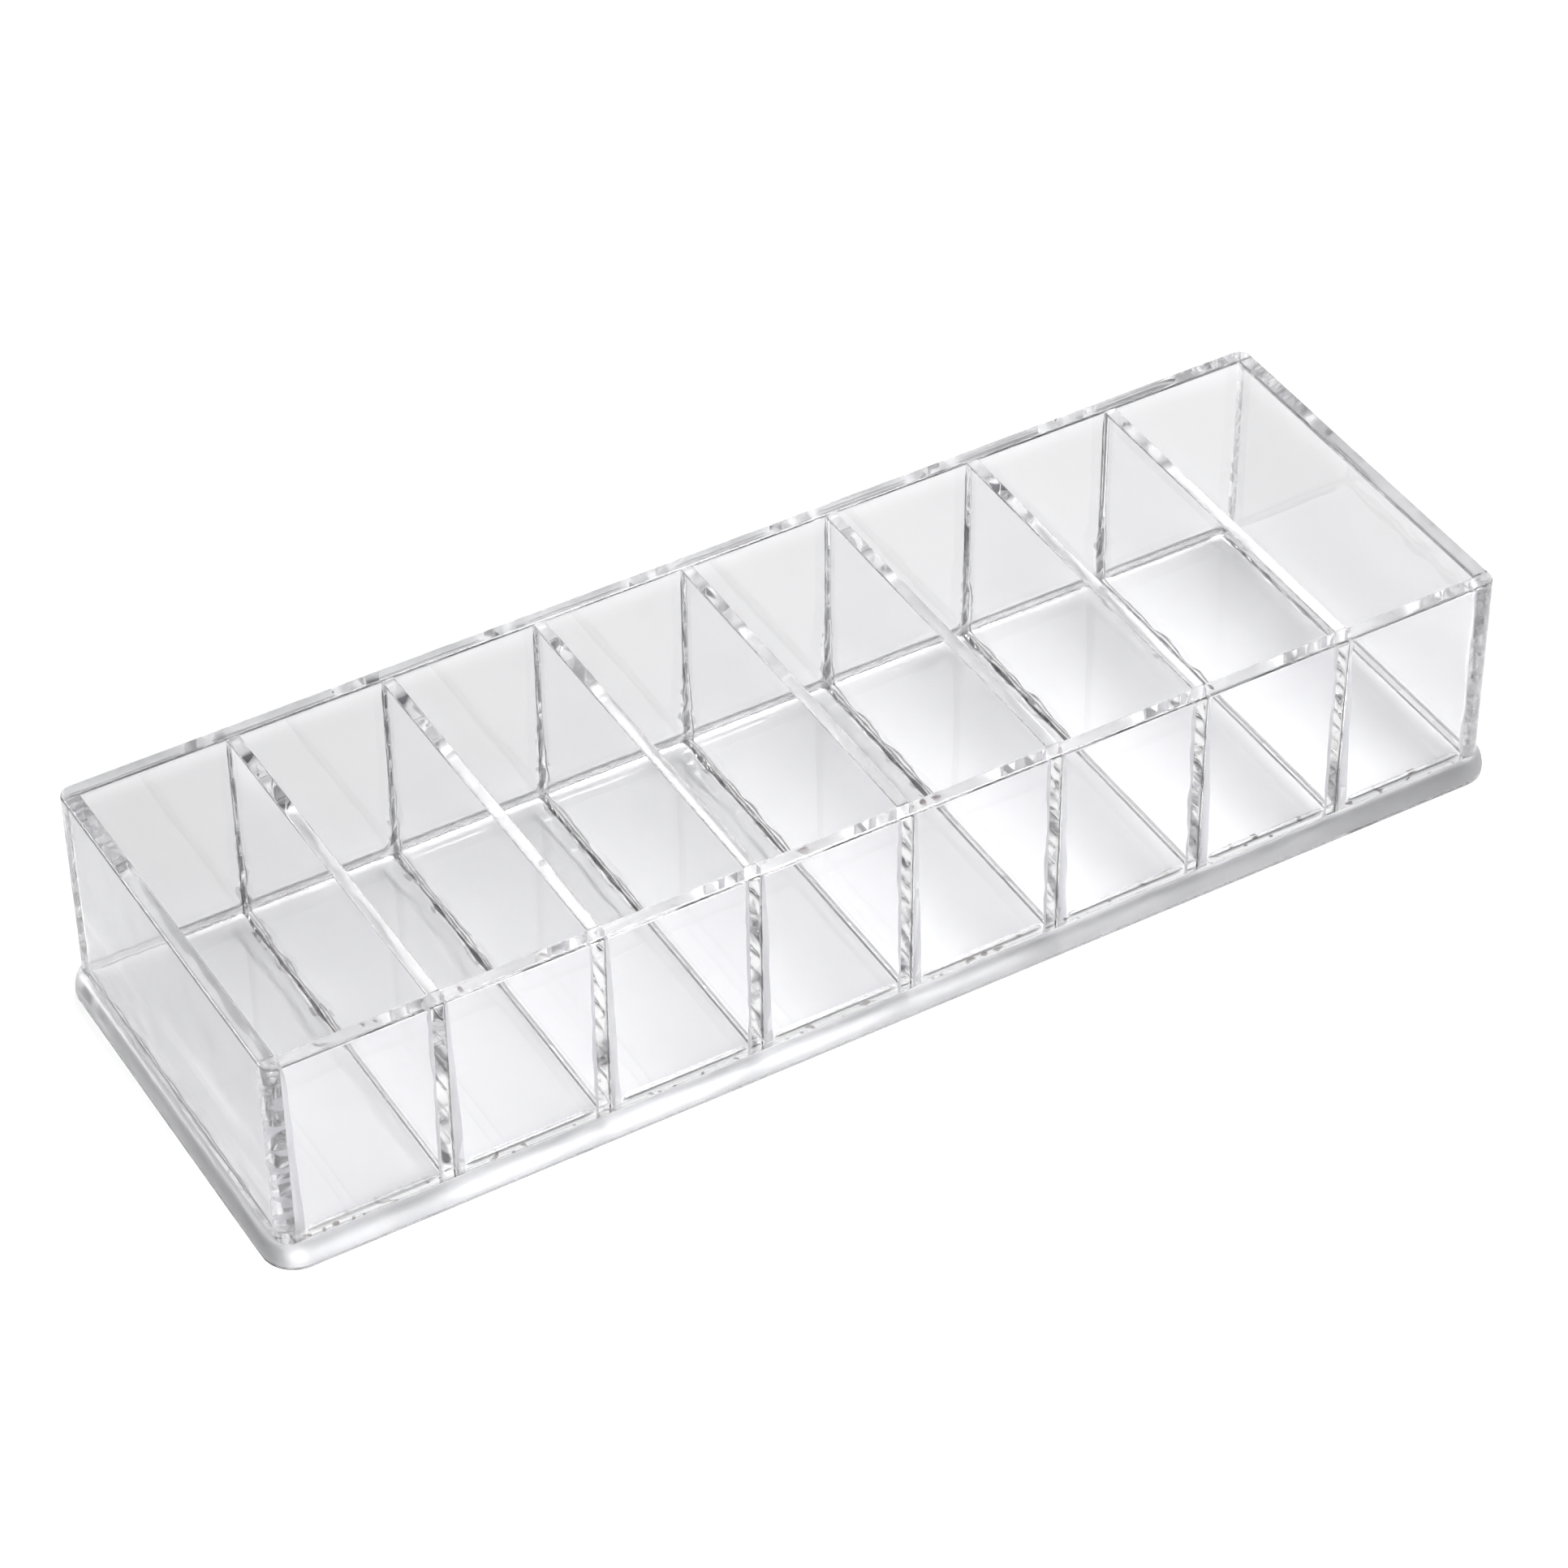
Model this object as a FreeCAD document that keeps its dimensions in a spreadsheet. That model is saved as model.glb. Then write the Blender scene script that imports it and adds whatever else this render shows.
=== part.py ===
"""Vanity organizer: a clear open box of eight compartments, bonded from sheet on a bullnosed base plate.

Millimetres, +Z up. The origin is at the centre of the underside, +X runs along the row of
compartments and -Y is the front.
"""

import FreeCAD, Part
import os

import Sketcher

COMPARTMENTS = 8

# Driving dimensions: name, value, what it measures
DIMENSIONS = (
    ("base_length", 240.0, "base plate, along the row of compartments"),
    ("base_width", 82.0, "base plate, front to back"),
    ("base_thickness", 4.4, "base plate sheet"),
    ("base_corner_radius", 6.0, "base plate corners in plan"),
    ("base_margin", 2.0, "base plate beyond the outside of the walls"),
    ("bullnose_share", 0.8, "bullnose radius as a share of the margin it is cut in"),
    ("wall_height", 39.1, "walls and dividers above the base plate"),
    ("wall_thickness", 3.2, "sheet of the four outer walls"),
    ("wall_corner_share", 0.75, "outer vertical corner radius as a share of the wall sheet"),
    ("wall_rim_radius", 0.6, "polished round on the rim edges of the outer walls"),
    ("divider_thickness", 2.4, "sheet of the dividers"),
    ("divider_rim_radius", 0.3, "polished round on the top edges of the dividers"),
)

# Sizes and places that follow from the driving dimensions
BULLNOSE_RADIUS = "min(Sizes.base_margin; Sizes.base_thickness) * Sizes.bullnose_share"
WALL_CORNER_RADIUS = "Sizes.wall_thickness * Sizes.wall_corner_share"
OUTER_LENGTH = "(Sizes.base_length - 2 * Sizes.base_margin)"
OUTER_WIDTH = "(Sizes.base_width - 2 * Sizes.base_margin)"
INNER_LENGTH = f"({OUTER_LENGTH} - 2 * Sizes.wall_thickness)"
INNER_WIDTH = f"({OUTER_WIDTH} - 2 * Sizes.wall_thickness)"
PITCH = f"(({INNER_LENGTH} + Sizes.divider_thickness) / {COMPARTMENTS})"

# Point numbers of a sketch line or arc: its start and its end
START, END = 1, 2
# The sketch origin as a constraint sees it: the first point of the horizontal axis
AXIS, ORIGIN = -1, 1

ALL_ROUND = ("front", "right", "back", "left")
TOLERANCE = 1e-6

doc = FreeCAD.newDocument("vanity_organizer")
sheet = doc.addObject("Spreadsheet::Sheet", "Sizes")
for row, (name, value, meaning) in enumerate(DIMENSIONS, start=1):
    sheet.set(f"A{row}", meaning)
    sheet.set(f"B{row}", str(value))
    sheet.setAlias(f"B{row}", name)
doc.recompute()


def new_body(label):
    body = doc.addObject("PartDesign::Body", label)
    body.Label = label
    return body


def plan_sketch(body):
    """An empty sketch on the body's own horizontal plane."""
    sketch = body.newObject("Sketcher::SketchObject", f"{body.Name}_plan")
    plane = next(f for f in body.Origin.OriginFeatures if f.Role == "XY_Plane")
    sketch.AttachmentSupport = [(plane, "")]
    sketch.MapMode = "FlatFace"
    return sketch


def draw_plan(sketch, length, width, radius=None, round_corners=()):
    """A rectangle of length by width, centred on the origin, with the named corners rounded.

    Corners are numbered 0 to 3 anticlockwise from the front left. length, width and radius are
    expressions.
    """
    half_x = sketch.evalExpression(length) / 2
    half_y = sketch.evalExpression(width) / 2
    reach = sketch.evalExpression(radius) if round_corners else 0
    signs = ((-1, -1), (1, -1), (1, 1), (-1, 1))

    def corner_point(corner, towards):
        """Where the side between two corners leaves the first: the corner itself, or its tangent point."""
        point = FreeCAD.Vector(signs[corner][0] * half_x, signs[corner][1] * half_y, 0)
        if corner not in round_corners:
            return point
        other = FreeCAD.Vector(signs[towards][0] * half_x, signs[towards][1] * half_y, 0)
        return point + (other - point).normalize() * reach

    sides = []
    for corner in range(4):
        following = (corner + 1) % 4
        line = Part.LineSegment(corner_point(corner, following), corner_point(following, corner))
        sides.append(sketch.addGeometry(line))
        direction = "Vertical" if corner % 2 else "Horizontal"
        sketch.addConstraint(Sketcher.Constraint(direction, sides[-1]))

    arcs = []
    for corner in range(4):
        before, after = sides[corner - 1], sides[corner]
        if corner in round_corners:
            first = corner_point(corner, (corner - 1) % 4)
            last = corner_point(corner, (corner + 1) % 4)
            peak = FreeCAD.Vector(signs[corner][0] * half_x, signs[corner][1] * half_y, 0)
            centre = first + last - peak
            middle = centre + (peak - centre).normalize() * reach
            arc = sketch.addGeometry(Part.Arc(first, middle, last))
            sketch.addConstraint(Sketcher.Constraint("Tangent", before, END, arc, START))
            sketch.addConstraint(Sketcher.Constraint("Tangent", arc, END, after, START))
            arcs.append(arc)
        else:
            sketch.addConstraint(Sketcher.Constraint("Coincident", before, END, after, START))

    # The four sides stand at equal distances either side of the origin
    for name, axis, sides_of_axis, size in (
        ("width", "DistanceY", (sides[0], sides[2]), width),
        ("length", "DistanceX", (sides[3], sides[1]), length),
    ):
        low, high = sides_of_axis
        for suffix, points in (("low", (low, START, AXIS, ORIGIN)), ("high", (AXIS, ORIGIN, high, START))):
            half = half_x if axis == "DistanceX" else half_y
            index = sketch.addConstraint(Sketcher.Constraint(axis, *points, half))
            sketch.renameConstraint(index, f"{name}_{suffix}")
            sketch.setExpression(f"Constraints.{name}_{suffix}", f"{size} / 2")
    for number, arc in enumerate(arcs):
        if number == 0:
            index = sketch.addConstraint(Sketcher.Constraint("Radius", arc, reach))
            sketch.renameConstraint(index, "corner_radius")
            sketch.setExpression("Constraints.corner_radius", radius)
        else:
            sketch.addConstraint(Sketcher.Constraint("Equal", arcs[0], arc))


def pad_up(body, sketch, height):
    pad = body.newObject("PartDesign::Pad", f"{body.Name}_pad")
    pad.Profile = sketch
    pad.setExpression("Length", height)
    sketch.Visibility = False
    doc.recompute()
    return pad


def top_edges(pad, lying=ALL_ROUND):
    """Names of the pad's upper edges on the sides asked for; corner arcs belong to every side."""
    box = pad.Shape.BoundBox
    names = []
    for number, edge in enumerate(pad.Shape.Edges, start=1):
        extent = edge.BoundBox
        if extent.ZMin < box.ZMax - TOLERANCE:
            continue
        on_side = {
            "front": extent.YMax < box.YMin + TOLERANCE,
            "back": extent.YMin > box.YMax - TOLERANCE,
            "left": extent.XMax < box.XMin + TOLERANCE,
            "right": extent.XMin > box.XMax - TOLERANCE,
        }
        is_arc = not any(on_side.values())
        if is_arc or any(on_side[side] for side in lying):
            names.append(f"Edge{number}")
    return names


def round_top(body, pad, radius, lying=ALL_ROUND):
    fillet = body.newObject("PartDesign::Fillet", f"{body.Name}_rim")
    fillet.Base = (pad, top_edges(pad, lying))
    fillet.setExpression("Radius", radius)
    pad.Visibility = False
    body.Tip = fillet
    doc.recompute()


def place(body, x="0", y="0", z="Sizes.base_thickness"):
    for axis, expression in (("x", x), ("y", y), ("z", z)):
        body.setExpression(f"Placement.Base.{axis}", expression)


def make_base_plate():
    """The plate that the box stands on: rounded corners, bullnosed upper edge, flat underside."""
    body = new_body("base_plate")
    sketch = plan_sketch(body)
    draw_plan(sketch, "Sizes.base_length", "Sizes.base_width", "Sizes.base_corner_radius", (0, 1, 2, 3))
    pad = pad_up(body, sketch, "Sizes.base_thickness")
    round_top(body, pad, BULLNOSE_RADIUS)
    return body


def make_long_wall(label, side):
    """Front (side -1) or back (side 1) wall, which covers the ends of the end walls."""
    body = new_body(label)
    sketch = plan_sketch(body)
    outer_corners = (0, 1) if side < 0 else (2, 3)
    draw_plan(sketch, OUTER_LENGTH, "Sizes.wall_thickness", WALL_CORNER_RADIUS, outer_corners)
    pad = pad_up(body, sketch, "Sizes.wall_height")
    round_top(body, pad, "Sizes.wall_rim_radius")
    place(body, y=f"{side} * ({OUTER_WIDTH} - Sizes.wall_thickness) / 2")
    return body


def make_end_wall(label, side):
    """Left (side -1) or right (side 1) wall, which butts between the front and back walls."""
    body = new_body(label)
    sketch = plan_sketch(body)
    draw_plan(sketch, "Sizes.wall_thickness", INNER_WIDTH)
    pad = pad_up(body, sketch, "Sizes.wall_height")
    round_top(body, pad, "Sizes.wall_rim_radius", ("left", "right"))
    place(body, x=f"{side} * ({OUTER_LENGTH} - Sizes.wall_thickness) / 2")
    return body


def make_divider(number):
    """One cross divider, counted from the left, butted between the long walls and flush with the rim."""
    body = new_body(f"divider_{number}")
    sketch = plan_sketch(body)
    draw_plan(sketch, "Sizes.divider_thickness", INNER_WIDTH)
    pad = pad_up(body, sketch, "Sizes.wall_height")
    round_top(body, pad, "Sizes.divider_rim_radius", ("left", "right"))
    place(body, x=f"({number} - {COMPARTMENTS} / 2) * {PITCH}")
    return body


pieces = [
    make_base_plate(),
    make_long_wall("front_wall", -1),
    make_long_wall("back_wall", 1),
    make_end_wall("left_end_wall", -1),
    make_end_wall("right_end_wall", 1),
]
pieces += [make_divider(number) for number in range(1, COMPARTMENTS)]
doc.recompute()

for item in doc.Objects:
    failed = [state for state in item.State if state in ("Invalid", "Error")]
    if failed:
        raise RuntimeError(f"{item.Name} did not build: {failed}")

os.makedirs("parts", exist_ok=True)
for piece in pieces:
    if piece.Shape.isNull() or not piece.Shape.isValid() or len(piece.Shape.Solids) != 1:
        raise RuntimeError(f"{piece.Label} is not one valid solid")
    piece.Shape.exportStep(f"parts/{piece.Label}.step")
    size = piece.Shape.BoundBox
    print(f"{piece.Label}: {size.XLength:.2f} x {size.YLength:.2f} x {size.ZLength:.2f}, "
          f"volume {piece.Shape.Volume:.1f}")
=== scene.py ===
import math

import bmesh
import bpy
from mathutils import Matrix, Vector, noise


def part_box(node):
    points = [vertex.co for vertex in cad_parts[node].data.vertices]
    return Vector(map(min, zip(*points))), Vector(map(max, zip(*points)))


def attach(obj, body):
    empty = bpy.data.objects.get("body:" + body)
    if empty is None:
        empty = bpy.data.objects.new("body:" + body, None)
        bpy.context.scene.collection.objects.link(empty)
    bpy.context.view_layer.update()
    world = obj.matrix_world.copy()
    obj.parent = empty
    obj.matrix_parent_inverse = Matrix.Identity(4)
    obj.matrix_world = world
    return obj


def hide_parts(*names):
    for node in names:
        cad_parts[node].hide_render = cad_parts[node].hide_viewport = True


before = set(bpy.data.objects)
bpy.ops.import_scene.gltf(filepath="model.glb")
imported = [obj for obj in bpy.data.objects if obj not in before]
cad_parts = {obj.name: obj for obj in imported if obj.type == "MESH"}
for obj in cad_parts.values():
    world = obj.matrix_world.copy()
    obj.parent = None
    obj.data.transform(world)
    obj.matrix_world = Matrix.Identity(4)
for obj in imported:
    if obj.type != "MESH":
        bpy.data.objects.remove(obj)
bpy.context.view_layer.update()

scene = bpy.context.scene

# Shapes are worked out in millimetres and built in metres
MM = 0.001
TOLERANCE = 1e-6


def span(node):
    """Low and high corner of a CAD node's box, in millimetres."""
    low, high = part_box(node)
    return [v / MM for v in low], [v / MM for v in high]


# Sizes read from the CAD nodes
_, base_high = span("base_plate")
front_low, front_high = span("front_wall")
_, left_high = span("left_end_wall")
DIVIDERS = sorted(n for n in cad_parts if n.startswith("divider_"))
HALF_LENGTH = base_high[0]
HALF_WIDTH = base_high[1]
FLOOR_Z = base_high[2]
TOP_Z = front_high[2]
OUT_X = front_high[0]
OUT_Y = -front_low[1]
IN_X = -left_high[0]
IN_Y = -front_high[1]

# Radii of the rims and of the corners in plan
WALL_RIM = 0.6
DIVIDER_RIM = 0.3
CORNER = 2.4
BASE_CORNER = 6.0

# How far the rounded edge of the base plate comes in and down
EDGE_IN = 1.9
EDGE_DOWN = 3.8

# Faces across each round, and along the foot of a long wall in one compartment
EDGE_STEPS = 12
CORNER_STEPS = 10
RIM_STEPS = 5
BAY_STEPS = 44

# Where the seams end and the rim of the walls begins
SEAM_TOP = TOP_Z - WALL_RIM

# Material numbers of every clear piece
CLEAR, EDGE, EDGE_FOOT_SHADOW, BEAD, BOND_BEAD, BOND_END, BOND_CORNER, BOND_FOOT, BOND_RIB, JOINED = range(10)


def steps(low, high, pitch):
    """Places from low to high, evenly spaced at about a pitch."""
    count = max(1, round((high - low) / pitch))
    return [low + (high - low) * k / count for k in range(count + 1)]


def smooth_step(low, high, value):
    t = min(1.0, max(0.0, (value - low) / (high - low)))
    return t * t * (3 - 2 * t)


# Gain that takes the noise to about -1 to 1, and where each seed lies in it
WAVE_GAIN = 1.8
SEED_STEP_Y, SEED_START_Y = 7.31, 0.37
SEED_STEP_Z = 1.93


def wave(seed, along, pitch):
    """Smooth noise from -1 to 1 along a seam, different for each seed."""
    place = (along / pitch, seed * SEED_STEP_Y + SEED_START_Y, seed * SEED_STEP_Z)
    return max(-1.0, min(1.0, WAVE_GAIN * noise.noise(place)))


# Widest reach of a cement bead over a face, and the rows and columns that the faces are drawn with
ZONE = 2.6
ZONE_STEPS = 8
ZONE_POWER = 1.5
ZONE_CUTS = [ZONE * (k / ZONE_STEPS) ** ZONE_POWER for k in range(ZONE_STEPS + 1)]
FOOT_ROWS = [FLOOR_Z + d for d in ZONE_CUTS]
SEAM_PITCH = 0.6
SEAM_ROWS = FOOT_ROWS + steps(FOOT_ROWS[-1], SEAM_TOP, SEAM_PITCH)[1:]
COLUMN_PITCH = 0.8

# Stand of each kind of bead from its sheet, with the swing, the pitch and the seed of its waves
FRONT_RIGHT_STAND, FRONT_RIGHT_FLARE, FRONT_RIGHT_SWING, FRONT_RIGHT_PITCH = 0.6, 1.2, 0.15, 7.0
FRONT_LEFT_STAND, FRONT_LEFT_SWING, FRONT_LEFT_PITCH = 0.65, 0.2, 8.0
RIPPLE_SWING, RIPPLE_PITCH, RIPPLE_SEED = 0.15, 3.5, 40
BACK_STAND, BACK_LUMP, BACK_SWING, BACK_PITCH, BACK_SEED = 0.2, 0.8, 0.7, 4.0, 80
FOOT_STAND, FOOT_LUMP, FOOT_SWING, FOOT_PITCH, FOOT_SEED = 0.28, 0.55, 0.6, 4.2, 120
LEAST_END_STAND = 0.15
LEAST_FOOT_STAND = 0.12

# Reach of a bead by its stand, and the least stand that the reach of an end bead is worked out from
REACH_START = 0.2
REACH_PER_STAND = 1.3
LEAST_REACH_STAND = 0.2

# Shares of the height between which the lumps of an end bead at the back die out
LUMPS_FULL, LUMPS_GONE = 0.12, 0.5

# Length over which the end beads fade out below the rim, and the lumps of a foot bead set in
RIM_FADE = 3.0
LUMPS_FADE = 10.0

# Stand and reach of the foot beads of the long walls, and the share of a compartment they fade in
FRONT_FOOT_BEAD = (1.1, 1.0)
BACK_FOOT_BEAD = (0.35, 0.6)
BAY_FADE = 0.08

# A bead counts as lumpy cement where it stands this far out, behind and below these places
LUMPY_LIFT = 0.05
LUMPY_Y = -2.0
LUMPY_Z = FLOOR_Z + 18.0


def bead(distance, stand, reach):
    """Height of a concave bead over a face, at a distance from the other face."""
    if distance >= reach:
        return 0.0
    s = 1 - distance / reach
    return stand * (1 - math.sqrt(max(0.0, 1 - s * s)))


def bead_reach(stand):
    """How far a bead runs out from the corner that it fills."""
    return min(ZONE, REACH_START + REACH_PER_STAND * stand)


def end_bead(seed, side, at_front, z, distance, lumps):
    """Bead in the upright corner between a cross sheet and a long wall."""
    share = (z - FLOOR_Z) / (SEAM_TOP - FLOOR_Z)
    if at_front and side > 0:
        stand = FRONT_RIGHT_STAND + FRONT_RIGHT_FLARE * (1 - share)
        stand += FRONT_RIGHT_SWING * wave(seed, z, FRONT_RIGHT_PITCH)
    elif at_front:
        stand = FRONT_LEFT_STAND + FRONT_LEFT_SWING * wave(seed, z, FRONT_LEFT_PITCH)
        stand += RIPPLE_SWING * wave(seed + RIPPLE_SEED, z, RIPPLE_PITCH)
    else:
        low = 1 - smooth_step(LUMPS_FULL, LUMPS_GONE, share)
        lump = BACK_LUMP + BACK_SWING * wave(seed + BACK_SEED, z, BACK_PITCH)
        stand = BACK_STAND + lumps * low * lump
    fade = 1 - smooth_step(SEAM_TOP - RIM_FADE, SEAM_TOP, z)
    stand = max(LEAST_END_STAND, stand) * fade
    return bead(distance, stand, bead_reach(max(LEAST_REACH_STAND, stand)))


def foot_bead(seed, y, distance, lumps, lumps_from):
    """Bead along the foot of a cross sheet, thick and lumpy from some place towards the back."""
    share = lumps * smooth_step(lumps_from, lumps_from + LUMPS_FADE, y)
    lump = FOOT_LUMP + FOOT_SWING * wave(seed + FOOT_SEED, y, FOOT_PITCH)
    stand = max(LEAST_FOOT_STAND, FOOT_STAND + share * lump)
    return bead(distance, stand, bead_reach(stand))


def wall_foot_bead(side, share, distance):
    """Bead along the foot of the front or back wall in one compartment, fading out at both ends."""
    stand, reach = FRONT_FOOT_BEAD if side < 0 else BACK_FOOT_BEAD
    fade = smooth_step(0.0, BAY_FADE, min(share, 1 - share))
    return bead(distance, stand * fade, reach)


# Cosine of the widest angle between two faces that are shaded as one round
ONE_ROUND = 0.75


def set_normals(mesh):
    """Shading normals: rounds run smoothly into the flats, and the flats stay flat."""
    around = [[] for _ in mesh.vertices]
    for face in mesh.polygons:
        for v in face.vertices:
            around[v].append((face.normal.copy(), face.area))
    normals = []
    for face in mesh.polygons:
        for v in face.vertices:
            total = Vector((0, 0, 0))
            for normal, area in around[v]:
                if normal.dot(face.normal) > ONE_ROUND:
                    total += normal * area
            normals.append(total.normalized())
    mesh.normals_split_custom_set(normals)


# Decimals of a millimetre to which two points are the same
POINT_DIGITS = 4


class Clear:
    """Collects the faces of one closed piece, in millimetres."""

    def __init__(self):
        self.points = []
        self.number = {}
        self.faces = []
        self.slots = []

    def vertex(self, point):
        """The number of a point, which is shared by all faces that meet there."""
        key = tuple(round(c, POINT_DIGITS) for c in point)
        if key not in self.number:
            self.number[key] = len(self.points)
            self.points.append(key)
        return self.number[key]

    def face(self, points, slot=CLEAR):
        ring = []
        for n in (self.vertex(p) for p in points):
            if not ring or ring[-1] != n:
                ring.append(n)
        if ring[0] == ring[-1]:
            ring.pop()
        if len(ring) > 2:
            self.faces.append(ring)
            self.slots.append(slot)

    def strip(self, first, second, slot=CLEAR, closed=False):
        """Faces between two lines; slot is a material number or gives one for each face."""
        count = len(first) if closed else len(first) - 1
        for k in range(count):
            n = (k + 1) % len(first)
            points = [first[k], first[n], second[n], second[k]]
            self.face(points, slot(points) if callable(slot) else slot)

    def grid(self, rows, slot=CLEAR):
        for low, high in zip(rows, rows[1:]):
            self.strip(low, high, slot)

    def build(self, name, node, materials):
        mesh = bpy.data.meshes.new(name)
        mesh.from_pydata([[c * MM for c in p] for p in self.points], [], self.faces)
        mesh.polygons.foreach_set("material_index", self.slots)
        mesh.polygons.foreach_set("use_smooth", [True] * len(self.faces))
        work = bmesh.new()
        work.from_mesh(mesh)
        bmesh.ops.recalc_face_normals(work, faces=work.faces)
        if any(len(edge.link_faces) != 2 for edge in work.edges):
            raise RuntimeError(name + " is not closed")
        work.to_mesh(mesh)
        work.free()
        set_normals(mesh)
        piece = bpy.data.objects.new(name, mesh)
        scene.collection.objects.link(piece)
        for material in materials:
            mesh.materials.append(material)
        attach(piece, "root")
        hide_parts(node)


def quarter_turn(count):
    """Angles from 0 to a right angle."""
    return [math.pi / 2 * k / count for k in range(count + 1)]


def rounding(inset, drop, count):
    """(inset, drop) pairs from the side of a rounded edge to its top."""
    return [(inset * (1 - math.cos(a)), drop * (1 - math.sin(a))) for a in quarter_turn(count)]


def corner_arc(x, q, radius, side):
    """Arc of a plan corner on the left (side -1) or right (side 1), from the end to the long side."""
    return [(x + side * radius * math.cos(a), q + radius * math.sin(a))
            for a in quarter_turn(CORNER_STEPS)]


class CrossSheet:
    """An end wall or a divider: a plate across the box, with its cement beads."""

    def __init__(self, seed, low_x, high_x, rim, beaded_low, beaded_high, lumps=1.0, lumps_from=-4.0):
        self.seed = seed
        self.flat = {-1: low_x, 1: high_x}
        self.rim = rim
        self.beaded = {-1: beaded_low, 1: beaded_high}
        self.lumps = lumps
        self.lumps_from = lumps_from
        near = [-IN_Y + d for d in ZONE_CUTS]
        far = [IN_Y - d for d in reversed(ZONE_CUTS)]
        self.columns = near + steps(near[-1], far[0], COLUMN_PITCH)[1:-1] + far
        self.ends = len(ZONE_CUTS)

    def x(self, side, y, z):
        """Where a side face stands."""
        x = self.flat[side]
        if not self.beaded[side] or z >= SEAM_TOP - TOLERANCE:
            return x
        seed = self.seed * 2 + side
        lift = max(end_bead(seed, side, True, z, y + IN_Y, self.lumps),
                   end_bead(seed, side, False, z, IN_Y - y, self.lumps),
                   foot_bead(seed, y, z - FLOOR_Z, self.lumps, self.lumps_from))
        return x + side * lift

    def at(self, side, y, z):
        return (self.x(side, y, z), y, z)

    def surface(self, side):
        """Gives the material number of a part of a side face: lumpy cement or clear sheet."""
        def number(points):
            lift = max(side * (p[0] - self.flat[side]) for p in points)
            _, y, z = points[0]
            return BEAD if lift > LUMPY_LIFT and y > LUMPY_Y and z < LUMPY_Z else CLEAR
        return number

    def seam(self, side, end):
        """The upright edge of a side face on a long wall, from the floor up."""
        return [self.at(side, end * IN_Y, z) for z in SEAM_ROWS]

    def foot(self, side):
        """The edge of a side face on the base plate, from front to back."""
        return [self.at(side, y, FLOOR_Z) for y in self.columns]

    def sole(self):
        """The outline of the foot with its beads."""
        return self.foot(-1) + self.foot(1)[::-1]

    def add_side(self, c, side):
        """One side face: rows over the foot bead, then a column at each end and a flat between."""
        foot_rows = [[self.at(side, y, z) for y in self.columns] for z in FOOT_ROWS]
        c.grid(foot_rows, self.surface(side))
        shoulder = TOP_Z - self.rim
        rows = SEAM_ROWS[len(FOOT_ROWS) - 1:]
        if shoulder > SEAM_TOP + TOLERANCE:
            rows = rows + [shoulder]
        near = [[self.at(side, y, z) for y in self.columns[:self.ends]] for z in rows]
        far = [[self.at(side, y, z) for y in self.columns[-self.ends:]] for z in rows]
        c.grid(near, self.surface(side))
        c.grid(far, self.surface(side))
        middle = foot_rows[-1][self.ends - 1:len(self.columns) - self.ends + 1]
        c.face(middle + [r[0] for r in far] + [r[-1] for r in reversed(near)])

    def add_rim(self, c, side):
        """The round between one side face and the top; gives its rows."""
        top_y = self.columns[:self.ends] + self.columns[-self.ends:]
        rows = [[(self.flat[side] - side * inset, y, TOP_Z - drop) for y in top_y]
                for inset, drop in rounding(self.rim, self.rim, RIM_STEPS)]
        c.grid(rows)
        return rows

    def add_end(self, c, end, rims):
        """The face on a long wall: the end of the sheet, the ends of its beads and of its rim."""
        seams = {side: self.seam(side, end) for side in (-1, 1)}
        core = {}
        for side, line in seams.items():
            core[side] = line
            if self.beaded[side]:
                core[side] = [(line[-1][0], end * IN_Y, FLOOR_Z), line[-1]]
                c.face(line + core[side][:1], BOND_BEAD if end < 0 else JOINED)
        is_divider = self.beaded[-1] and self.beaded[1]
        c.face(core[-1] + core[1][::-1], BOND_END if is_divider else BOND_CORNER)
        k = 0 if end < 0 else -1
        low_rim = [r[k] for r in rims[-1]]
        high_rim = [r[k] for r in reversed(rims[1])]
        c.face([seams[-1][-1]] + low_rim + high_rim + [seams[1][-1]])

    def make(self, name, node, record_slot, materials):
        c = Clear()
        rims = {}
        for side in (-1, 1):
            self.add_side(c, side)
            rims[side] = self.add_rim(c, side)
        c.face(rims[-1][-1] + rims[1][-1][::-1])
        for end in (-1, 1):
            self.add_end(c, end, rims)
        near, far = [[(self.flat[side], end * IN_Y, FLOOR_Z) for side in (-1, 1)] for end in (-1, 1)]
        c.face(self.foot(-1) + far + self.foot(1)[::-1] + near[::-1], BOND_RIB)
        c.build(name, node, materials)


# Seeds of the sheets' beads
LEFT_SEED = 11
RIGHT_SEED = 13
FIRST_DIVIDER_SEED = 17

left_wall = CrossSheet(LEFT_SEED, -OUT_X, -IN_X, WALL_RIM, False, True, lumps=0.85, lumps_from=-30.0)
right_wall = CrossSheet(RIGHT_SEED, IN_X, OUT_X, WALL_RIM, True, False, lumps=0.4)
dividers = []
for seed, divider_node in enumerate(DIVIDERS, start=FIRST_DIVIDER_SEED):
    divider_low, divider_high = span(divider_node)
    dividers.append(CrossSheet(seed, divider_low[0], divider_high[0], DIVIDER_RIM, True, True))
crosses = [left_wall] + dividers + [right_wall]


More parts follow.
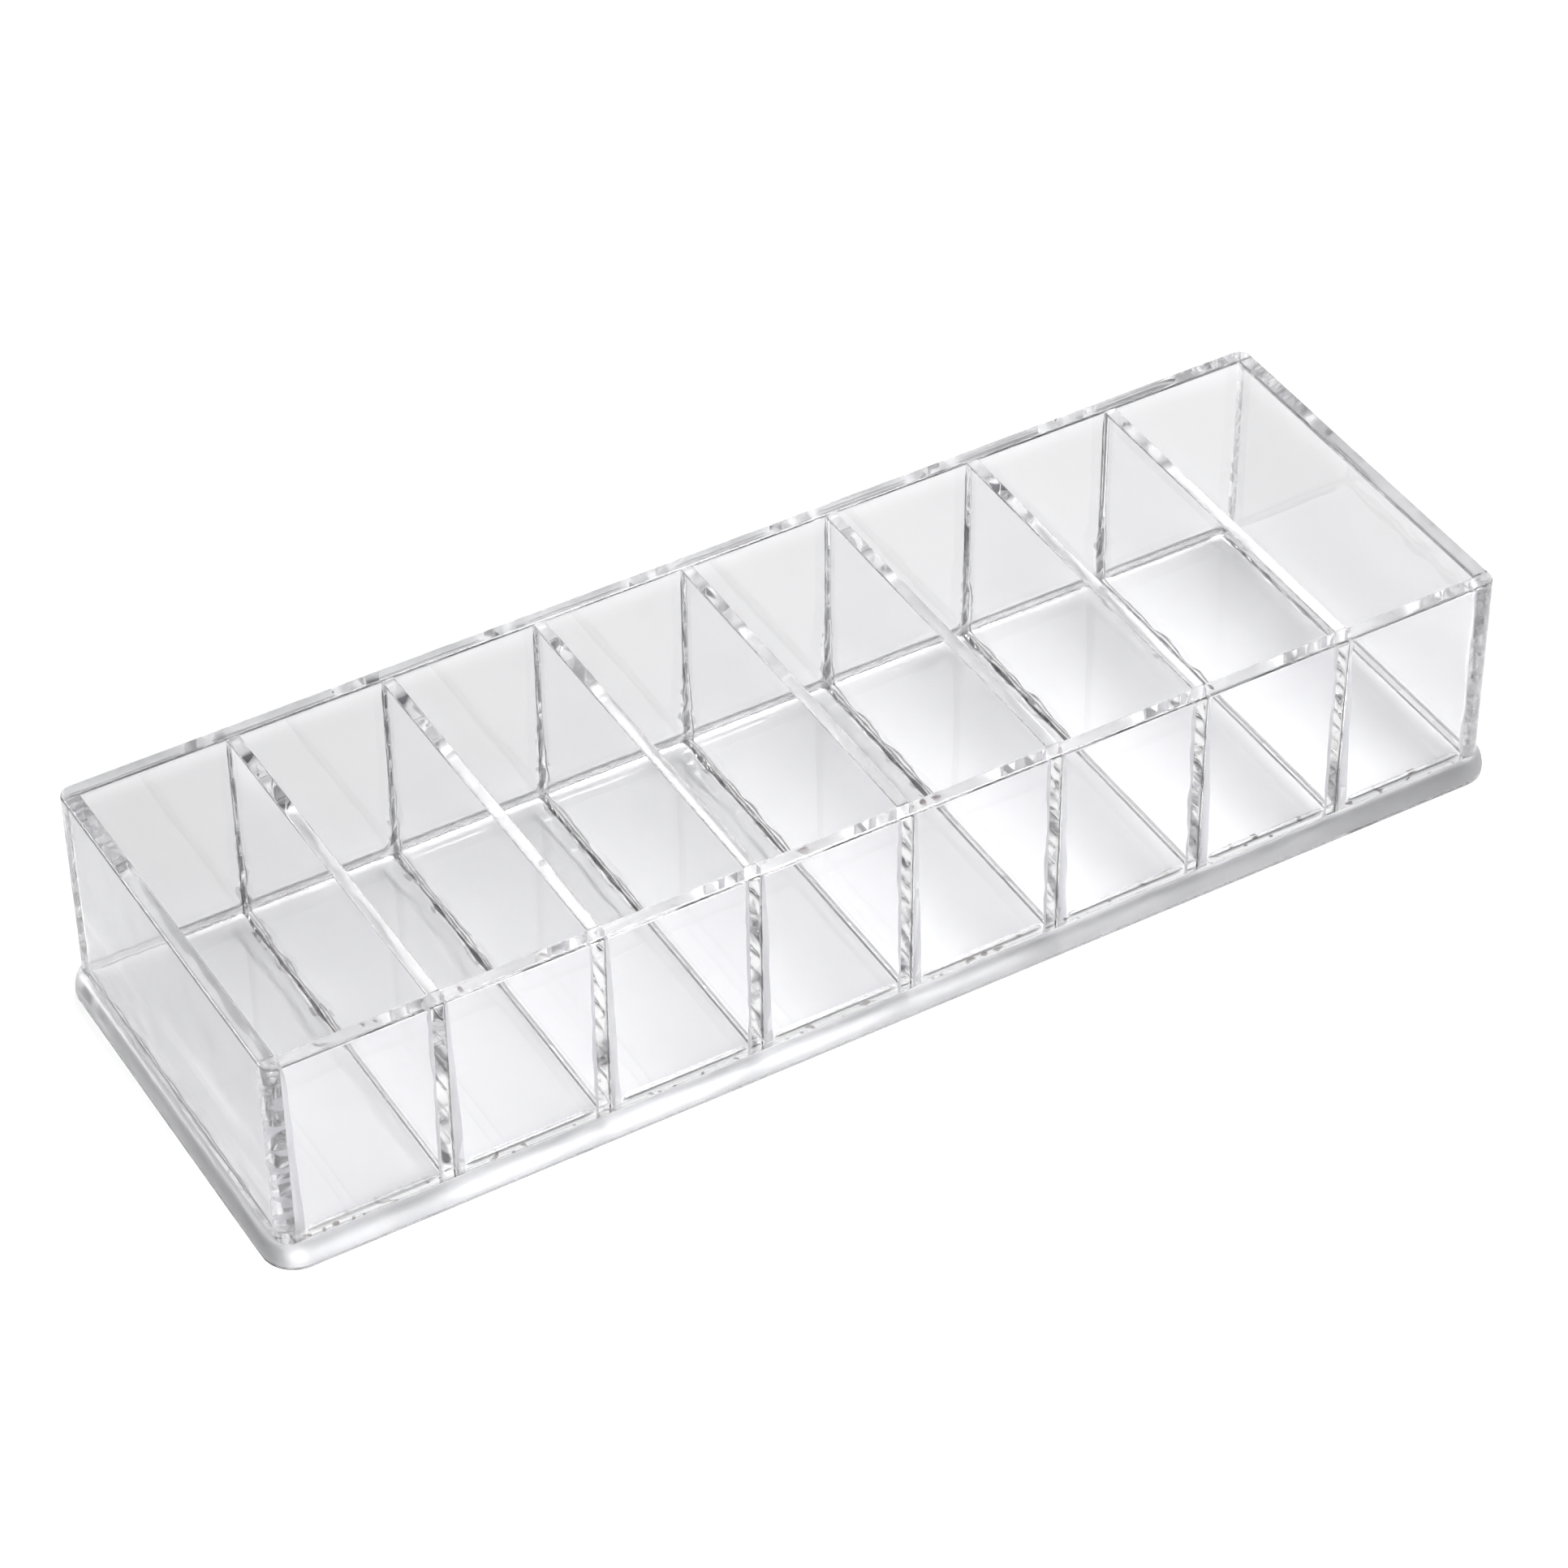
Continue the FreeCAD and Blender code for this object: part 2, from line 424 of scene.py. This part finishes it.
class LongWall:
    """The front (side -1) or back (side 1) wall."""

    def __init__(self, side):
        self.side = side

    def at(self, x, q, z):
        return (x, self.side * q, z)

    def bay(self, number):
        """Rows of the foot bead inside one compartment, from the floor up."""
        rows = []
        for z in FOOT_ROWS:
            low = crosses[number].x(1, self.side * IN_Y, z)
            high = crosses[number + 1].x(-1, self.side * IN_Y, z)
            row = []
            for k in range(BAY_STEPS + 1):
                x = low + (high - low) * k / BAY_STEPS
                q = IN_Y - wall_foot_bead(self.side, k / BAY_STEPS, z - FLOOR_Z)
                row.append(self.at(x, q, z))
            rows.append(row)
        return rows

    def inner_foot(self):
        """The inside edge of the sole, from left to right."""
        line = [self.at(-OUT_X, IN_Y, FLOOR_Z)]
        for number in range(len(crosses) - 1):
            line += self.bay(number)[0]
        return line + [self.at(OUT_X, IN_Y, FLOOR_Z)]

    def outer(self, inset, z):
        """The outside edge, from the left end along the long side to the right end."""
        radius = CORNER - inset
        left = corner_arc(-OUT_X + CORNER, OUT_Y - CORNER, radius, -1)
        right = corner_arc(OUT_X - CORNER, OUT_Y - CORNER, radius, 1)
        return [self.at(x, q, z) for x, q in left + right[::-1]]

    def sole(self):
        return self.inner_foot() + self.outer(0, FLOOR_Z)[::-1]

    def add_inside(self, c):
        """The inside face, cut where the cross sheets meet it; gives its upper edge."""
        upper = [self.at(-OUT_X, IN_Y, SEAM_TOP)]
        above_foot = len(FOOT_ROWS) - 1
        for number, cross in enumerate(crosses):
            low = cross.seam(-1, self.side)
            high = cross.seam(1, self.side)
            c.face(low + high[::-1], JOINED)
            upper += [low[-1], high[-1]]
            if number < len(crosses) - 1:
                rows = self.bay(number)
                c.grid(rows)
                far = crosses[number + 1].seam(-1, self.side)
                c.face(rows[-1] + far[above_foot + 1:] + high[:above_foot:-1])
        return upper + [self.at(OUT_X, IN_Y, SEAM_TOP)]

    def add_rim(self, c, upper):
        """The rounded rim above the inside's upper edge and all round the outside, and the top."""
        rings = []
        for inset, drop in rounding(WALL_RIM, WALL_RIM, RIM_STEPS):
            z = TOP_Z - drop
            inner = []
            for p in upper:
                x = max(-OUT_X + inset, min(OUT_X - inset, p[0]))
                inner.append(self.at(x, IN_Y + inset, z))
            rings.append(inner + self.outer(inset, z)[::-1])
        for low, high in zip(rings, rings[1:]):
            c.strip(low, high, closed=True)
        c.face(rings[-1])

    def make(self, name, node, materials):
        c = Clear()
        c.face(self.sole(), BOND_FOOT if self.side < 0 else JOINED)
        upper = self.add_inside(c)
        low_ring = self.outer(0, FLOOR_Z)
        high_ring = self.outer(0, SEAM_TOP)
        c.strip(low_ring, high_ring)
        for k, cross, side in ((0, left_wall, -1), (-1, right_wall, 1)):
            c.face(cross.seam(side, self.side) + [high_ring[k], low_ring[k]])
        self.add_rim(c, upper)
        c.build(name, node, materials)


front_wall = LongWall(-1)
back_wall = LongWall(1)


def base_ring(inset, z):
    """The outline of the base plate, from the left end along the back and home along the front."""
    radius = BASE_CORNER - inset
    centre_x = HALF_LENGTH - BASE_CORNER
    centre_y = HALF_WIDTH - BASE_CORNER
    left = corner_arc(-centre_x, centre_y, radius, -1)
    right = corner_arc(centre_x, centre_y, radius, 1)
    back = left + right[::-1]
    return [(x, y, z) for x, y in back] + [(x, -y, z) for x, y in reversed(back)]


def make_base(materials):
    """The base plate, whose upper face is cut where the walls and dividers stand on it."""
    c = Clear()
    rings = [base_ring(0, 0)]
    c.face(rings[0])
    for inset, drop in rounding(EDGE_IN, EDGE_DOWN, EDGE_STEPS):
        rings.append(base_ring(inset, FLOOR_Z - drop))
    # The lowest strip of the edge takes a dark painted contact shadow
    for number, (low, high) in enumerate(zip(rings, rings[1:])):
        c.strip(low, high, EDGE if number else EDGE_FOOT_SHADOW, closed=True)

    # The margin outside the walls
    lip = rings[-1]
    half = len(lip) // 2
    back_lip = lip[:half]
    front_lip = lip[:half - 1:-1]
    turn = CORNER_STEPS + 1
    for wall, line in ((back_wall, back_lip), (front_wall, front_lip)):
        outer = wall.outer(0, FLOOR_Z)
        c.strip(line[:turn], outer[:turn])
        c.strip(line[turn:], outer[turn:])
        c.face([line[turn - 1], line[turn], outer[turn], outer[turn - 1]])
        c.face(wall.sole(), JOINED)
    for cross, side, k in ((left_wall, -1, 0), (right_wall, 1, -1)):
        near = front_wall.outer(0, FLOOR_Z)[k]
        far = back_wall.outer(0, FLOOR_Z)[k]
        c.face([near] + cross.foot(side) + [far] + [back_lip[k], front_lip[k]])

    # The floors of the compartments
    for cross in crosses:
        c.face(cross.sole(), JOINED)
    for number in range(len(crosses) - 1):
        left = crosses[number].foot(1)[-2:0:-1]
        right = crosses[number + 1].foot(-1)[1:-1]
        c.face(front_wall.bay(number)[0] + right + back_wall.bay(number)[0][::-1] + left)
    c.build("clear_base_plate", "base_plate", materials)


# Materials, with their lengths in metres
IOR = 1.49
WHITE = (1, 1, 1, 1)
CLEAR_TINT = (0.975, 0.974, 0.98, 1)
STREAK_TINT = (0.8, 0.8, 0.81, 1)
FLECK_TINT = (0.52, 0.51, 0.53, 1)
CEMENT_ROUGHNESS = 0.02
SWELL_DEPTH = 0.001
SPOT_FADE = 0.003
FILM_LET_THROUGH = 0.4

# The base plate's edge: its tint, a painted shade that is darker at the front and lighter at the back, its
# roughness at the front and at the back, and its swell
EDGE_FRONT_SHADE_TINT, EDGE_BACK_SHADE_TINT = (0.56, 0.56, 0.58, 1), (0.88, 0.88, 0.89, 1)
EDGE_FRONT_HAZE, EDGE_BACK_HAZE = 0.5, 0.29
EDGE_FRONT_Y, EDGE_BACK_Y = -0.036, 0.036
EDGE_SWELL_SCALE, EDGE_SWELL = 60.0, 0.1


def new_material(name):
    material = bpy.data.materials.new(name)
    material.use_nodes = True
    tree = material.node_tree
    tree.nodes.clear()
    out = tree.nodes.new("ShaderNodeOutputMaterial")
    return material, tree, out


def shader_node(tree, kind, inputs=None, **settings):
    """A new node; an input is a constant or the socket that feeds it."""
    n = tree.nodes.new("ShaderNode" + kind)
    for key, value in settings.items():
        setattr(n, key, value)
    for key, value in (inputs or {}).items():
        if isinstance(value, bpy.types.NodeSocket):
            tree.links.new(value, n.inputs[key])
        else:
            n.inputs[key].default_value = value
    return n


def object_place(tree):
    return shader_node(tree, "TexCoord").outputs["Object"]


def map_range(tree, value, from_min, from_max, to_min, to_max, **settings):
    mapped = shader_node(tree, "MapRange", {
        "Value": value, "From Min": from_min, "From Max": from_max, "To Min": to_min, "To Max": to_max},
        **settings)
    return mapped.outputs["Result"]


def shade(tree, amount, first, second):
    """A colour from the first to the second by an amount."""
    mix = shader_node(tree, "ValToRGB", {"Fac": amount})
    mix.color_ramp.elements[0].color = first
    mix.color_ramp.elements[1].color = second
    return mix.outputs["Color"]


def swell_normal(tree, place, scale, strength):
    """The slight waviness of a polished sheet."""
    wavy = shader_node(tree, "TexNoise", {"Vector": place, "Scale": scale, "Detail": 1.0})
    bump = shader_node(tree, "Bump", {
        "Height": wavy.outputs["Fac"], "Strength": strength, "Distance": SWELL_DEPTH})
    return bump.outputs["Normal"]


def show(tree, out, shader):
    tree.links.new(shader.outputs[0], out.inputs["Surface"])


def show_clear(tree, out, inputs):
    """A clear plastic surface with some inputs of its own."""
    show(tree, out, shader_node(tree, "BsdfPrincipled", {"IOR": IOR, "Transmission Weight": 1.0, **inputs}))


def spots(size, threshold, soft=0.025, turn=0.0, top=None):
    """A mask of spots, of a size along each axis, turned about Y and fading out below a height."""
    def mask(tree, place):
        turned = shader_node(tree, "Mapping", {"Vector": place, "Rotation": (0, turn, 0), "Scale": size},
                             vector_type="TEXTURE")
        spot = shader_node(tree, "TexNoise", {"Vector": turned.outputs[0], "Scale": 1.0, "Detail": 0.0})
        amount = map_range(tree, spot.outputs["Fac"], threshold - soft, threshold + soft, 0.0, 1.0)
        if top is None:
            return amount
        height = shader_node(tree, "SeparateXYZ", {0: place}).outputs["Z"]
        fade = map_range(tree, height, top - SPOT_FADE, top, 1.0, 0.0)
        return shader_node(tree, "Math", {0: amount, 1: fade}, operation="MULTIPLY").outputs[0]
    return mask


def acrylic(name, swell_scale, swell, tint=CLEAR_TINT, roughness=0.0, streaks=None):
    """Clear sheet, with lighter streaks where a mask is given."""
    material, tree, out = new_material(name)
    place = object_place(tree)
    if streaks:
        tint = shade(tree, streaks(tree, place), tint, STREAK_TINT)
    show_clear(tree, out, {"Base Color": tint, "Roughness": roughness,
                           "Normal": swell_normal(tree, place, swell_scale, swell)})
    return material


def base_edge():
    """The rounded edge of the base plate: hazy along the front and clearer towards the back, with painted
    shade that greys the front and lightens towards the back.
    """
    material, tree, out = new_material("base_edge_acrylic")
    place = object_place(tree)
    depth = shader_node(tree, "SeparateXYZ", {0: place}).outputs["Y"]
    share = map_range(tree, depth, EDGE_FRONT_Y, EDGE_BACK_Y, 0.0, 1.0)
    show_clear(tree, out, {"Base Color": shade(tree, share, EDGE_FRONT_SHADE_TINT, EDGE_BACK_SHADE_TINT),
                           "Roughness": map_range(tree, share, 0.0, 1.0, EDGE_FRONT_HAZE, EDGE_BACK_HAZE),
                           "Normal": swell_normal(tree, place, EDGE_SWELL_SCALE, EDGE_SWELL)})
    return material


def cement_bead():
    """The cement beads in the inside corners: clear, with grey flecks."""
    material, tree, out = new_material("cement_bead")
    flecks = spots((0.0014, 0.0024, 0.0024), 0.57, soft=0.03, turn=-0.35)
    tint = shade(tree, flecks(tree, object_place(tree)), CLEAR_TINT, FLECK_TINT)
    show_clear(tree, out, {"Base Color": tint, "Roughness": CEMENT_ROUGHNESS})
    return material


def bond(name, smear, dark):
    """A joint with air trapped in it, which shines at a flat angle, with dark smears of cement."""
    material, tree, out = new_material(name)
    behind = shader_node(tree, "NewGeometry").outputs["Backfacing"]
    ior = map_range(tree, behind, 0.0, 1.0, 1 / IOR, IOR)
    mirror = shader_node(tree, "Fresnel", {"IOR": ior}).outputs["Fac"]
    colour = shade(tree, smear(tree, object_place(tree)), WHITE, dark)
    passing = shader_node(tree, "BsdfTransparent", {"Color": colour})
    shine = shader_node(tree, "BsdfGlossy", {"Color": colour, "Roughness": 0.0})
    show(tree, out, shader_node(tree, "MixShader", {0: mirror, 1: passing.outputs[0], 2: shine.outputs[0]}))
    return material


def smeared(name, smear, dark):
    """A fully wetted joint, clear but for its dark smears of cement."""
    material, tree, out = new_material(name)
    colour = shade(tree, smear(tree, object_place(tree)), WHITE, dark)
    show(tree, out, shader_node(tree, "BsdfTransparent", {"Color": colour}))
    return material


def painted_light_film(name, white, thin, thick, mask):
    """A joint painted whitish, standing in for white floor light refracted through clear cement: it covers
    less where it is thin and more where it is thick.
    """
    material, tree, out = new_material(name)
    cover = map_range(tree, mask(tree, object_place(tree)), 0.0, 1.0, thin, thick)
    near = shader_node(tree, "BsdfDiffuse", {"Color": white})
    far = shader_node(tree, "BsdfTranslucent", {"Color": white})
    film = shader_node(tree, "MixShader", {0: FILM_LET_THROUGH, 1: near.outputs[0], 2: far.outputs[0]})
    passing = shader_node(tree, "BsdfTransparent")
    show(tree, out, shader_node(tree, "MixShader", {0: cover, 1: passing.outputs[0], 2: film.outputs[0]}))
    return material


def joined():
    """The other face of a cemented joint, which shows nothing."""
    material, tree, out = new_material("joined")
    show(tree, out, shader_node(tree, "BsdfTransparent"))
    return material


# Materials that every piece has, in the order of their numbers from EDGE on
bead_cover = spots((0.004, 0.02, 0.012), 0.5, soft=0.2)
end_smears = spots((0.0027, 0.02, 0.014), 0.6, soft=0.03, turn=-0.352, top=0.036)
corner_cover = spots((0.0014, 0.02, 0.0017), 0.53, soft=0.06, turn=0.5, top=0.0415)
foot_ticks = spots((0.0018, 0.003, 0.02), 0.71, soft=0.04)
rib_smears = spots((0.004, 0.004, 0.004), 0.78)
shared = [
    base_edge(),
    # The lowest strip of the base edge: dark, a painted contact shadow line along the bottom
    acrylic("base_foot_painted_shadow", EDGE_SWELL_SCALE, EDGE_SWELL, (0.42, 0.42, 0.44, 1), roughness=0.1),
    cement_bead(),
    # Whitish film on the beads: painted light standing in for refracted floor light
    painted_light_film("bond_bead", (0.82, 0.81, 0.84, 1), 0.6, 0.85, bead_cover),
    smeared("bond_end", end_smears, (0.2, 0.19, 0.21, 1)),
    # Grey-white film in the upright corners: painted light standing in for refracted floor light
    painted_light_film("bond_corner", (0.62, 0.61, 0.64, 1), 0.3, 0.85, corner_cover),
    bond("bond_foot", foot_ticks, (0.36, 0.32, 0.31, 1)),
    bond("bond_rib", rib_smears, (0.6, 0.6, 0.6, 1)),
    joined(),
]

# The clear sheet of each piece, numbered CLEAR: scale and strength of its swell, and its tint. The walls'
# tints below CLEAR_TINT are painted shade on one acrylic: slight on the front, more on the back and the
# right end, most on the left end. The left end's lower part has lighter painted streaks of light.
left_streaks = spots((0.02, 0.03, 0.0035), 0.58, soft=0.1, top=0.024)
base_sheet = acrylic("base_acrylic", 45.0, 0.05)
front_sheet = acrylic("front_acrylic", 45.0, 0.06, (0.95, 0.95, 0.96, 1))
back_sheet = acrylic("back_acrylic", 45.0, 0.06, (0.85, 0.85, 0.86, 1))
left_sheet = acrylic("left_acrylic", 70.0, 0.1, (0.62, 0.62, 0.635, 1), streaks=left_streaks)
right_sheet = acrylic("right_acrylic", 70.0, 0.1, (0.78, 0.78, 0.79, 1))
divider_sheet = acrylic("divider_acrylic", 40.0, 0.07)

# Pieces
make_base([base_sheet] + shared)
front_wall.make("clear_front_wall", "front_wall", [front_sheet] + shared)
back_wall.make("clear_back_wall", "back_wall", [back_sheet] + shared)
left_wall.make("clear_left_end_wall", "left_end_wall", "wall_sheet", [left_sheet] + shared)
right_wall.make("clear_right_end_wall", "right_end_wall", "wall_sheet", [right_sheet] + shared)
for divider, divider_node in zip(dividers, DIVIDERS):
    divider.make("clear_" + divider_node, divider_node, "divider_sheet", [divider_sheet] + shared)

# Stage: a pale floor just below the underside
FLOOR_REACH = 6.0
FLOOR_DROP = 0.0002
FLOOR_TINT = (0.86, 0.86, 0.86, 1)
corner_signs = ((-1, -1), (1, -1), (1, 1), (-1, 1))
floor_corners = [(x * FLOOR_REACH, y * FLOOR_REACH, -FLOOR_DROP) for x, y in corner_signs]
floor_mesh = bpy.data.meshes.new("floor")
floor_mesh.from_pydata(floor_corners, [], [(0, 1, 2, 3)])
floor = bpy.data.objects.new("floor", floor_mesh)
scene.collection.objects.link(floor)
floor_material, floor_tree, floor_out = new_material("pale_floor")
show(floor_tree, floor_out, shader_node(floor_tree, "BsdfDiffuse", {"Color": FLOOR_TINT}))
floor_mesh.materials.append(floor_material)

# Sky: a soft dome with its light by height, stronger behind the object than in front of it
SKY_LEVELS = ((0.0, 0.12), (0.2, 0.16), (0.4, 0.95), (0.7, 1.5), (0.9, 1.0), (1.0, 0.5))
SKY_STRONG_WAY = (0.5, 0.87, 0.0)
SKY_FACING = (-0.5, 0.4)
SKY_STRENGTH = (0.2, 0.7)
world = bpy.data.worlds.new("studio")
scene.world = world
world.use_nodes = True
sky_tree = world.node_tree
sky_tree.nodes.clear()
sky_out = sky_tree.nodes.new("ShaderNodeOutputWorld")
way = shader_node(sky_tree, "TexCoord").outputs["Generated"]
way_up = shader_node(sky_tree, "SeparateXYZ", {0: way}).outputs["Z"]
sky_tone = shader_node(sky_tree, "ValToRGB", {"Fac": way_up})
ramp = sky_tone.color_ramp
ramp.interpolation = "EASE"
for height, _ in SKY_LEVELS[1:-1]:
    ramp.elements.new(height)
for stop, (_, level) in zip(ramp.elements, SKY_LEVELS):
    stop.color = (level, level, level, 1)
facing = shader_node(sky_tree, "VectorMath", {0: way, 1: SKY_STRONG_WAY}, operation="DOT_PRODUCT")
strength = map_range(sky_tree, facing.outputs["Value"], *SKY_FACING, *SKY_STRENGTH,
                     interpolation_type="SMOOTHSTEP")
show(sky_tree, sky_out, shader_node(sky_tree, "Background", {
    "Color": sky_tone.outputs["Color"], "Strength": strength}))


def add_lamp(name, place, aim, size, watts, through_glass=False, shine_only=False, spread=180.0):
    """A soft rectangular lamp: for matt surfaces, for clear ones too, or seen only as a shine."""
    light = bpy.data.lights.new(name, "AREA")
    light.shape = "RECTANGLE"
    light.size, light.size_y = size
    light.energy = watts
    light.spread = math.radians(spread)
    lamp = bpy.data.objects.new(name, light)
    lamp.location = place
    lamp.rotation_euler = (Vector(aim) - lamp.location).to_track_quat("-Z", "Y").to_euler()
    lamp.visible_camera = False
    lamp.visible_transmission = through_glass
    lamp.visible_glossy = through_glass or shine_only
    lamp.visible_diffuse = not shine_only
    scene.collection.objects.link(lamp)


# Lamps: a strip that lights everything, two for the floor, and a card for the shine on the left edge
add_lamp("strip", place=(0.235, 0.035, 0.61), aim=(0, 0, 0), size=(0.63, 0.147), watts=3.2,
         through_glass=True)
add_lamp("key", place=(-0.365, -0.63, 0.66), aim=(0, 0, 0), size=(0.12, 0.12), watts=9.6)
add_lamp("front_wash", place=(-0.1, -0.075, 0.5), aim=(-0.1, -0.075, 0), size=(0.08, 0.03), watts=1.0,
         spread=8.0)
add_lamp("left_card", place=(-0.5, 0.4, 0.26), aim=(-0.11, 0, 0), size=(0.3, 0.22), watts=2.0,
         shine_only=True)

# Camera at the photograph's viewing angle
AZIMUTH = math.radians(30.092)
ELEVATION = math.radians(41.288)
ROLL = math.radians(-0.568)
TARGET = Vector((-0.003757, -0.003366, 0.025))
DISTANCE = 0.907595
SENSOR_WIDTH = 36.0
FOCAL_PIXELS = 6584.243
PHOTO_PIXELS = 1932
level_share = math.cos(ELEVATION)
forward = Vector((math.sin(AZIMUTH) * level_share, math.cos(AZIMUTH) * level_share, -math.sin(ELEVATION)))
level_right = forward.cross(Vector((0, 0, 1))).normalized()
level_up = level_right.cross(forward)
camera_right = math.cos(ROLL) * level_right + math.sin(ROLL) * level_up
camera_up = math.cos(ROLL) * level_up - math.sin(ROLL) * level_right
lens = bpy.data.cameras.new("camera")
lens.sensor_width = SENSOR_WIDTH
lens.lens = SENSOR_WIDTH * FOCAL_PIXELS / PHOTO_PIXELS
lens.clip_start = 0.01
lens.clip_end = 50
camera = bpy.data.objects.new("camera", lens)
scene.collection.objects.link(camera)
camera_turn = Matrix((camera_right, camera_up, -forward)).transposed().to_4x4()
camera.matrix_world = Matrix.Translation(TARGET - forward * DISTANCE) @ camera_turn
scene.camera = camera

# Plain tones, and enough bounces for light to pass through every sheet
scene.view_settings.view_transform = "Standard"
scene.cycles.max_bounces = 40
scene.cycles.transmission_bounces = 40
scene.cycles.glossy_bounces = 24
scene.cycles.diffuse_bounces = 4
scene.cycles.transparent_max_bounces = 64
scene.cycles.blur_glossy = 0.0
scene.cycles.use_denoising = True

bpy.context.view_layer.update()
